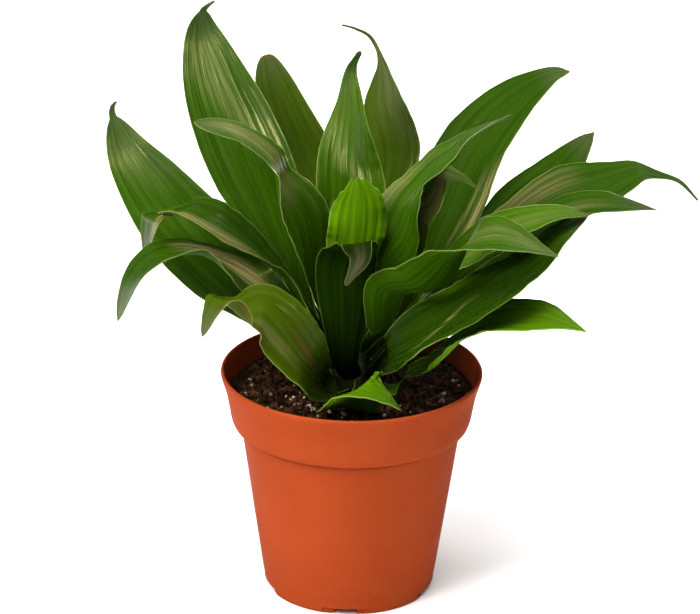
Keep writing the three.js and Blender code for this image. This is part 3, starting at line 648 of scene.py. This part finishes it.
def notch_block(inner, outer, width):
    points = [(x, y, z) for x in (inner, outer) for y in (-width / 2, width / 2)
              for z in (CUTTER_FOOT, NOTCH_HEIGHT)]
    faces = [(0, 1, 3, 2), (4, 6, 7, 5), (0, 4, 5, 1), (2, 3, 7, 6), (0, 2, 6, 4), (1, 5, 7, 3)]
    return points, faces


def drain_shaft():
    low, high = DRAIN_CUT
    points, faces = revolve([(0, low), (DRAIN_RADIUS, low), (DRAIN_RADIUS, high), (0, high)], DRAIN_SIDES)
    return [(x + DRAIN_CIRCLE, y, z) for x, y, z in points], faces


def foot_cutters():
    """Cutters for the notches in the foot, their recesses and the drain hole behind each."""
    opening = notch_block(FOOT_RADIUS - NOTCH_CUT[0], FOOT_RADIUS + NOTCH_CUT[1], NOTCH_OPENING)
    recess = notch_block(FOOT_RADIUS - NOTCH_RECESS_DEPTH, FOOT_RADIUS + RECESS_CUT, NOTCH_RECESS)
    turns = [math.radians(NOTCH_FIRST_AZIMUTH + 360 * i / NOTCH_COUNT) for i in range(NOTCH_COUNT)]
    return [cutter(*form, turn) for turn in turns for form in (opening, recess, drain_shaft())]


def make_pot():
    """One moulded shell with a collar, a rounded lip and a foot ring, and the foot's cuts."""
    wall_at_ledge = FOOT_RADIUS + FOOT_FLARE[0] + WALL_SLOPE * (LEDGE_HEIGHT - FOOT_FLARE[1])
    outside = rounded([
        (0, FLOOR_UNDERSIDE),
        (FOOT_RING_INNER - 0.8, FLOOR_UNDERSIDE),
        (FOOT_RING_INNER, 0),
        (FOOT_RADIUS, 0),
        (FOOT_RADIUS + FOOT_FLARE[0], FOOT_FLARE[1]),
        (wall_at_ledge - LEDGE, LEDGE_HEIGHT - 0.3),
        (wall_at_ledge, LEDGE_HEIGHT + 0.1),
        (NECK_RADIUS, COLLAR_UNDERSIDE),
        (NECK_RADIUS + 1.1, COLLAR_UNDERSIDE + 0.2),
        (NECK_RADIUS + 3.1, COLLAR_UNDERSIDE + 1.4),
        (COLLAR_FOOT_RADIUS, COLLAR_UNDERSIDE + COLLAR_TURN),
        (COLLAR_FOOT_RADIUS + COLLAR_SLOPE * 11, COLLAR_UNDERSIDE + COLLAR_TURN + 11),
        (RIM_RADIUS - 0.2, POT_HEIGHT - 2),
        (RIM_RADIUS, POT_HEIGHT - 0.8),
        (RIM_RADIUS - 0.4, POT_HEIGHT),
        (RIM_RADIUS - 1.2, POT_HEIGHT),
        (RIM_RADIUS - LIP, POT_HEIGHT - 1),
    ], OUTER_ROUNDING)
    inside = rounded([outside[-1], *INSIDE[-2::-1], (0, FLOOR_UNDERSIDE + WALL)], INNER_ROUNDING)
    points, faces = revolve(outside + inside[1:], POT_SIDES)
    pot = add_piece("pot_shell", points, faces, [pot_material()], "pot", POT_SHARP_ABOVE)
    cutters = foot_cutters()
    for tool in cutters:
        cut = pot.modifiers.new("cut", "BOOLEAN")
        cut.operation, cut.solver, cut.object = "DIFFERENCE", "EXACT", tool
    bpy.context.view_layer.update()
    done = bpy.data.meshes.new_from_object(pot.evaluated_get(bpy.context.evaluated_depsgraph_get()))
    pot.modifiers.clear()
    pot.data = done
    pot.data.set_sharp_from_angle(angle=math.radians(POT_SHARP_ABOVE))
    for tool in cutters:
        bpy.data.objects.remove(tool)


# ---------------- soil

def soil_height(x, y):
    height = SOIL_LEVEL - SOIL_SETTLING
    for length, cut, swell in SOIL_SWELLS:
        height += swell * noise.noise(Vector((x / length, y / length, cut)))
    return height


def make_soil():
    """Potting mix that fills the pot up to its uneven top, with a hole for the stem's foot."""
    bottom = FLOOR_UNDERSIDE + WALL + GAP
    hole = STEM_RADIUS_AT_SOIL + GAP
    edge = inside_radius(SOIL_LEVEL) - GAP
    heights = [bottom] + [z for _, z in INSIDE[1:] if z < SOIL_LEVEL - 2]
    walls = [(inside_radius(z) - GAP, z) for z in heights]
    top = [(edge + (hole - edge) * (i / (SOIL_RINGS - 1)), SOIL_LEVEL) for i in range(SOIL_RINGS)]
    profile = [(0, bottom)] + walls + top + [(hole, STEM_FOOT - GAP), (0, STEM_FOOT - GAP)]
    points, faces = revolve(profile, SOIL_SIDES)
    points = [(x, y, soil_height(x, y) if z == SOIL_LEVEL else z) for x, y, z in points]
    add_piece("soil_bed", points, faces, [soil_material()], "soil", sharp_above=75)


def ball(fineness):
    form = bmesh.new()
    bmesh.ops.create_icosphere(form, subdivisions=fineness, radius=1.0)
    points = np.array([v.co[:] for v in form.verts])
    faces = np.array([[v.index for v in f.verts] for f in form.faces])
    form.free()
    return points, faces


def grain_spot(kind, rng):
    """Place and size of one grain on the soil."""
    size = rng.uniform(*kind["size"]) + GRAIN_EXTRA * rng.random() ** kind["rarity"]
    sink = rng.uniform(*kind["sink"])
    nearest = STEM_RADIUS_AT_SOIL + GRAIN_CLEARANCE[0]
    furthest = inside_radius(SOIL_LEVEL) - GRAIN_CLEARANCE[1] - size
    radius = math.sqrt(rng.uniform(nearest ** 2, furthest ** 2))
    turn = rng.uniform(0, 2 * math.pi)
    if rng.random() < kind["heaped"]:
        turn = math.radians(rng.uniform(*HEAP_AZIMUTHS))
    elif kind["heaped"]:
        size = LESS_OUTSIDE_HEAP * size
    x, y = radius * math.cos(turn), radius * math.sin(turn)
    return x, y, soil_height(x, y) + sink * size, size


def scatter(name, kind, material, rng):
    """Irregular grains on the soil, each squashed, turned and pitted in its own way."""
    spots = [grain_spot(kind, rng) for _ in range(kind["count"])]
    form, form_faces = ball(kind["fineness"])
    points, faces = [], []
    for k, (x, y, z, size) in enumerate(spots):
        dent = np.array([noise.noise(Vector(p * DENT_FREQUENCY + GRAIN_TO_GRAIN * k)) for p in form])
        grain = form * (1 + kind["dents"] * dent)[:, None] * size * rng.uniform(kind["squash"], 1.0, 3)
        turn = Matrix.Rotation(rng.uniform(*ANY_PHASE), 3, Vector(rng.normal(size=3)).normalized())
        points.append(grain @ np.array(turn).T + np.array([x, y, z]))
        faces.append(form_faces + len(form) * k)
    add_piece(name, np.concatenate(points), np.concatenate(faces).tolist(), [material], None,
              sharp_above=50)


def make_grains():
    rng = np.random.default_rng(SEED)
    scatter("soil_crumbs", CRUMBS, crumb_material(), rng)
    scatter("perlite_grains", PERLITE, perlite_material(), rng)


# ---------------- stem

def stem_radius(height):
    share = min(max((height - SOIL_LEVEL) / (STEM_TOP - SOIL_LEVEL), 0), 1)
    return STEM_RADIUS_AT_SOIL + (STEM_RADIUS_AT_TOP - STEM_RADIUS_AT_SOIL) * share


def make_stem():
    """Short stem with the rings that old leaves left."""
    profile = [(0, STEM_FOOT), (STEM_RADIUS_AT_SOIL - 2, STEM_FOOT), (STEM_RADIUS_AT_SOIL, STEM_FOOT + 3)]
    for height in np.arange(STEM_FOOT + 6, STEM_TOP - 3, STEM_STEP):
        ring = LEAF_SCAR * max(math.sin(height * 2 * math.pi / LEAF_SCAR_SPACING), 0) ** 2
        profile.append((stem_radius(height) - STEM_INSET + ring, float(height)))
    profile += [(STEM_RADIUS_AT_TOP - 0.4, STEM_TOP - 2.4), (STEM_RADIUS_AT_TOP - 2, STEM_TOP - 0.6),
                (0, STEM_TOP)]
    points, faces = revolve(profile, STEM_SIDES)
    add_piece("stem_axis", points, faces, [stem_material()], "stem", sharp_above=50)


# ---------------- leaves

def catmull_rom(p0, p1, p2, p3, t):
    """The curve from p1 to p2, with p0 and p3 as their neighbours."""
    m1, m2 = (p2 - p0) / 2, (p3 - p1) / 2
    return (2 * p1 - 2 * p2 + m1 + m2) * t ** 3 + (-3 * p1 + 3 * p2 - 2 * m1 - m2) * t ** 2 + m1 * t + p1


def smooth_along(values, u):
    """A value along a leaf, from a few numbers at even stations."""
    v = np.asarray(values, float)
    last = len(v) - 1
    spot = u * last
    i = np.minimum(np.floor(spot).astype(int), last)
    return catmull_rom(v[np.maximum(i - 1, 0)], v[i], v[np.minimum(i + 1, last)],
                       v[np.minimum(i + 2, last)], spot - i)


def spline(points, t):
    """A curve through the points, with its ends carried straight on."""
    whole = np.vstack([2 * points[0] - points[1], points, 2 * points[-1] - points[-2]])
    spot = np.clip(t, 0, 1) * (len(points) - 1)
    i = np.minimum(np.floor(spot).astype(int), len(points) - 2)
    return catmull_rom(whole[i], whole[i + 1], whole[i + 2], whole[i + 3], (spot - i)[:, None])


def unit(vectors):
    return vectors / np.linalg.norm(vectors, axis=-1, keepdims=True)


def half_width(leaf, u):
    """Half the width of a leaf, from its neck out to the belly and in again to the drip tail and tip."""
    most = leaf["width"] / 2
    neck = leaf.get("neck", min(NECK, NARROW_NECK * most))
    rise = np.clip((u - NECK_END) / (leaf["belly"] - NECK_END), 0, 1)
    before = neck + (most - neck) * rise * rise * (3 - 2 * rise)
    fall = np.clip((u - leaf["belly"]) / (leaf["drip"] - leaf["belly"]), 0, 1)
    pointed = leaf["drip"] < 1
    tail = np.clip((1 - u) / (1 - leaf["drip"]), 0, 1) if pointed else np.zeros_like(u)
    least = TIP_SHARE + (TAIL_SHARE - TIP_SHARE) * tail
    fullness = leaf.get("full", POINTED_FULLNESS if pointed else BLUNT_FULLNESS)
    beyond = most * (least + (1 - least) * np.maximum(np.cos(fall * math.pi / 2), 0) ** fullness)
    return np.where(u < leaf["belly"], before, beyond)


def midrib(leaf):
    """Shares of the length, places, directions and side vectors at a blade's stations, and its length."""
    turn = math.radians(leaf["azimuth"])
    out = np.array([math.cos(turn), math.sin(turn), 0])
    side = np.array([-math.sin(turn), math.cos(turn), 0])
    clasp = (stem_radius(leaf["start"]) + GAP + BLADE / 2, 0, leaf["start"])
    points = np.array([a * out + b * side + np.array([0, 0, c]) for a, b, c in [clasp, *leaf["path"]]])
    fine = np.linspace(0, 1, MIDRIB_SAMPLES)
    curve = spline(points, fine)
    reach = np.concatenate([[0], np.cumsum(np.linalg.norm(np.diff(curve, axis=0), axis=1))])
    steps = 2 * STATIONS
    u = 1 - (1 - np.arange(steps + 1) / steps) ** TIP_CROWDING
    t = np.interp(u * reach[-1], reach, fine)
    place = spline(points, t)
    ahead, behind = np.minimum(t + DIRECTION_STEP, 1), np.maximum(t - DIRECTION_STEP, 0)
    along = unit(spline(points, ahead) - spline(points, behind))
    sides = []
    for direction in along:
        side = unit(side - side.dot(direction) * direction)
        sides.append(side)
    keep = slice(None, None, 2)
    return u[keep], place[keep], along[keep], np.array(sides)[keep], reach[-1]


def rib_relief(leaf, u, s, rng):
    """Raised lengthwise ribs that run together towards both ends of the blade."""
    count = leaf["width"] / RIB_SPACING
    phases = rng.uniform(*ANY_PHASE, len(RIBS))
    ribs = sum(share * np.cos(math.pi * count * multiple * s + phase)
               for (share, multiple), phase in zip(RIBS, phases))
    depth, reach = CHANNEL
    channel = -depth * np.exp(-(s * leaf["width"] / 2 / reach) ** 2)
    full = np.clip(half_width(leaf, u) / (leaf["width"] / 2), 0, 1)
    return RIB_HEIGHT * full[:, None] ** 2 * (ribs + channel)[None, :]


def margin_waves(leaf, u, s, rng):
    """Height of the margins' broad ripple and fine flutter."""
    height, count, phase = leaf.get("wave", WAVE)
    turn = 2 * math.pi * count * u[:, None] + phase + np.where(s > 0, OTHER_MARGIN, 0.0)[None, :]
    lift = height * np.sin(math.pi * u)[:, None] * (s ** 2)[None, :] * np.sin(turn)
    flutter = FLUTTER * np.sin(math.pi * u)[:, None] * (s ** 4)[None, :]
    for n in FLUTTER_COUNTS:
        lift = lift + flutter * np.sin(2 * math.pi * n * u + rng.uniform(*ANY_PHASE))[:, None]
    return lift


def torn_back(leaf, u, offset):
    """How far the teeth of a torn tip cut back, at offsets in millimetres from the midrib."""
    swing, pace = TOOTH_UNEVENNESS
    teeth = np.sin(math.pi * offset / TOOTH + swing * np.sin(pace * offset)) ** 2
    start, reach = TEAR
    return RAGGED_TIP[leaf["name"]] * np.clip((u - start) / reach, 0, 1)[:, None] * teeth


def blade(leaf, rng):
    """Grids of points for both faces of a blade, and where each point lies: its share across, its share
    along, and its distances from the margin and from the tip."""
    u, place, along, side, length = midrib(leaf)
    upper = np.cross(along, side)
    roll = np.radians(smooth_along(leaf["roll"], u))[:, None]
    across = side * np.cos(roll) + upper * np.sin(roll)
    normal = upper * np.cos(roll) - side * np.sin(roll)
    half = half_width(leaf, u)
    bend = np.radians(smooth_along(leaf.get("cup", CUP), u))
    bend = np.where(np.abs(bend) < NEARLY_FLAT, LEAST_CUP, bend)
    s = np.linspace(-1, 1, ACROSS + 1)
    s = np.sign(s) * (1 - (1 - np.abs(s)) ** MARGIN_CROWDING)
    lift = margin_waves(leaf, u, s, rng)
    angle = bend[:, None] * s[None, :]
    reach = half[:, None] * np.sin(angle) / bend[:, None]
    rise = half[:, None] * (1 - np.cos(angle)) / bend[:, None] + lift + rib_relief(leaf, u, s, rng)
    middle = (place[:, None, :] + across[:, None, :] * reach[..., None]
              + normal[:, None, :] * rise[..., None])
    if leaf["name"] in RAGGED_TIP:
        middle = middle - along[:, None, :] * torn_back(leaf, u, half[:, None] * s[None, :])[..., None]
    facing = unit(np.cross(np.gradient(middle, axis=0), np.gradient(middle, axis=1)))
    from_margin = half[:, None] * (1 - np.abs(s))[None, :]
    taper = np.clip(from_margin / MARGIN_TAPER, 0, 1)
    thick = (BLADE_MARGIN + (BLADE_MIDDLE - BLADE_MARGIN) * taper)[..., None] / 2
    share = np.broadcast_to((s + 1)[None, :] / 2, from_margin.shape)
    return middle + facing * thick, middle - facing * thick, share, u, from_margin, (1 - u) * length


def blade_faces(rows, columns):
    """Faces of a blade's upper side, of its underside and round its edge."""
    index = np.arange(rows * columns).reshape(rows, columns)
    a, b = index[:-1, :-1], index[1:, :-1]
    c, d = index[1:, 1:], index[:-1, 1:]
    top = np.stack([a, b, c, d], -1).reshape(-1, 4)
    total = rows * columns
    under = np.stack([a, d, c, b], -1).reshape(-1, 4) + total
    ring = np.concatenate([index[0, :-1], index[:-1, -1], index[-1, :0:-1], index[:0:-1, 0]])
    following = np.roll(ring, -1)
    edge = np.stack([ring, following, following + total, ring + total], -1)
    return top, under, edge


def streak_weights(leaf, share, u):
    """Weights of the straw-and-sheen streaks, which are partly painted sheen, and of the brown streaks over
    a blade.
    """
    weights = {"straw_and_sheen": np.zeros_like(share), "brown": np.zeros_like(share)}
    s = 2 * share - 1
    for tint, (u0, s0), (u1, s1), half, strength in STREAKS.get(leaf["name"], []):
        middle = np.interp(u, [u0, u1], [s0, s1])[:, None]
        aside = np.clip(STREAK_EDGE - np.abs(s - middle) / half, 0, 1)
        ends = np.clip(np.minimum(u - u0, u1 - u) / STREAK_FADE + 0.5, 0, 1)[:, None]
        weights[tint] = np.maximum(weights[tint], strength * aside * ends)
    return weights["straw_and_sheen"], weights["brown"]


def make_leaf(leaf, finishes, rng):
    """One closed blade, with what its material needs to know about each point in three UV layers."""
    top, under, share, u, from_margin, from_tip = blade(leaf, rng)
    upper_faces, under_faces, edge_faces = blade_faces(*share.shape)
    points = np.concatenate([top.reshape(-1, 3), under.reshape(-1, 3)])
    faces = np.concatenate([upper_faces, under_faces, edge_faces])
    sides = [0] * len(upper_faces) + [1] * len(under_faces) + [0] * len(edge_faces)
    piece = add_piece(leaf["name"] + "_blade", points, faces.tolist(), finishes, leaf["name"],
                      sharp_above=50, face_material=sides)
    corner = np.empty(faces.size, dtype=int)
    piece.data.loops.foreach_get("vertex_index", corner)
    along = np.broadcast_to(u[:, None], share.shape)
    tip = np.broadcast_to(from_tip[:, None], share.shape)
    layers = {"Share": (share, along), "Reach": (from_margin, tip), "Marks": streak_weights(leaf, share, u)}
    for name, (first, second) in layers.items():
        values = np.stack([np.tile(first.ravel(), 2), np.tile(second.ravel(), 2)], -1)[corner]
        piece.data.uv_layers.new(name=name).data.foreach_set("uv", values.ravel())


def make_leaves():
    rng = np.random.default_rng(SEED + 1)
    finishes = {
        name: [leaf_material("leaf_" + name, *mixture, False),
               leaf_material("leaf_" + name + "_underside", *mixture, True)]
        for name, mixture in TONES.items()
    }
    for leaf in LEAVES:
        make_leaf(leaf, finishes[LEAF_TONE.get(leaf["name"], "plain")], rng)


# ---------------- stage, light and camera

FLOOR_REACH = 6.0  # metres from the origin to the floor's sides
WORLD_STRENGTH = 0.16
LIGHT_TARGET = (0, 0, 0.12)  # metres from the pot's foot
CAMERA_TARGET = (-1.0, 0.0, 119.7)
CAMERA_DISTANCE = 1500.0
CAMERA_TILT = math.radians(22.2)
CAMERA_ROLL = math.radians(0.77)
FOCAL_LENGTH = 3769.7  # in pixels of the photo
PHOTO_WIDTH = 700
SENSOR_WIDTH = 36


def make_floor():
    s = Shader("studio_floor")
    grain = s.noise(s.place(), 3, 2)
    color = s.mix(s.smooth(grain, 0.3, 0.7), (0.86, 0.86, 0.855, 1), (0.88, 0.88, 0.88, 1))
    mesh = bpy.data.meshes.new("studio_floor")
    corners = [(-1, -1), (1, -1), (1, 1), (-1, 1)]
    mesh.from_pydata([(x * FLOOR_REACH, y * FLOOR_REACH, 0) for x, y in corners], [], [(0, 1, 2, 3)])
    mesh.materials.append(s.set(color=color, roughness=0.9))
    floor = add_object("studio_floor", mesh)


def area_light(name, azimuth, elevation, distance, size, power, color=(1, 1, 1), target=LIGHT_TARGET,
               gloss=False):
    """A rectangular light, for the gloss alone or for all but the gloss.

    Azimuth 0 is behind the camera and 90 to its right. Distance, size and target are in metres.
    """
    light = bpy.data.lights.new(name, "AREA")
    light.shape = "RECTANGLE"
    light.size, light.size_y = size
    light.energy, light.color = power, color
    made = add_object(name, light)
    made.visible_glossy, made.visible_diffuse = gloss, not gloss
    a, e = math.radians(azimuth), math.radians(elevation)
    away = Vector((math.sin(a) * math.cos(e), -math.cos(a) * math.cos(e), math.sin(e)))
    made.location = Vector(POT_AXIS * MM) + Vector(target) + distance * away
    made.rotation_mode = "QUATERNION"
    made.rotation_quaternion = (-away).to_track_quat("-Z", "Y")
    return light


def make_light():
    """Soft studio light from the left, and small warm lights that draw the gloss on the leaves."""
    world = bpy.data.worlds.new("studio")
    world.use_nodes = True
    background = world.node_tree.nodes["Background"].inputs
    background["Color"].default_value = (1.0, 1.0, 1.0, 1)
    background["Strength"].default_value = WORLD_STRENGTH
    bpy.context.scene.world = world
    area_light("key", azimuth=-50, elevation=44, distance=1.3, size=(0.7, 0.7), power=25,
               color=(1.0, 0.985, 0.95))
    area_light("strip", azimuth=22, elevation=8, distance=1.7, size=(0.3, 0.4), power=21,
               color=(1.0, 0.93, 0.50), gloss=True)
    area_light("side", azimuth=-110, elevation=10, distance=1.6, size=(0.3, 0.3), power=8,
               color=(1.0, 0.93, 0.70), gloss=True)
    area_light("rim", azimuth=152, elevation=38, distance=1.6, size=(0.3, 0.3), power=2.2,
               color=(1.0, 0.94, 0.70), gloss=True)
    area_light("fill", azimuth=-12, elevation=38, distance=2.0, size=(1.2, 1.2), power=9.5)
    area_light("top", azimuth=10, elevation=74, distance=1.5, size=(0.7, 0.7), power=21)
    backdrop = area_light("backdrop", azimuth=0, elevation=90, distance=1.2, size=(3.0, 1.6), power=36,
                          target=(0, 0.95, 0))
    backdrop.spread = math.radians(100)


def make_camera():
    """Camera solved from the pot's rim and foot ellipses in the photo."""
    forward = np.array([0, math.cos(CAMERA_TILT), -math.sin(CAMERA_TILT)])
    level, steep = np.array([1.0, 0, 0]), np.array([0, math.sin(CAMERA_TILT), math.cos(CAMERA_TILT)])
    right = math.cos(CAMERA_ROLL) * level + math.sin(CAMERA_ROLL) * steep
    up = math.cos(CAMERA_ROLL) * steep - math.sin(CAMERA_ROLL) * level
    place = (np.array(CAMERA_TARGET) + POT_AXIS - CAMERA_DISTANCE * forward) * MM
    camera = bpy.data.cameras.new("camera")
    camera.sensor_width, camera.lens = SENSOR_WIDTH, SENSOR_WIDTH * FOCAL_LENGTH / PHOTO_WIDTH
    made = add_object("camera", camera)
    made.matrix_world = Matrix((
        (right[0], up[0], -forward[0], place[0]),
        (right[1], up[1], -forward[1], place[1]),
        (right[2], up[2], -forward[2], place[2]),
        (0, 0, 0, 1)))
    bpy.context.scene.camera = made


make_camera()
make_light()
make_floor()
make_pot()
make_soil()
make_grains()
make_stem()
make_leaves()
bpy.context.scene.view_settings.view_transform = "Standard"
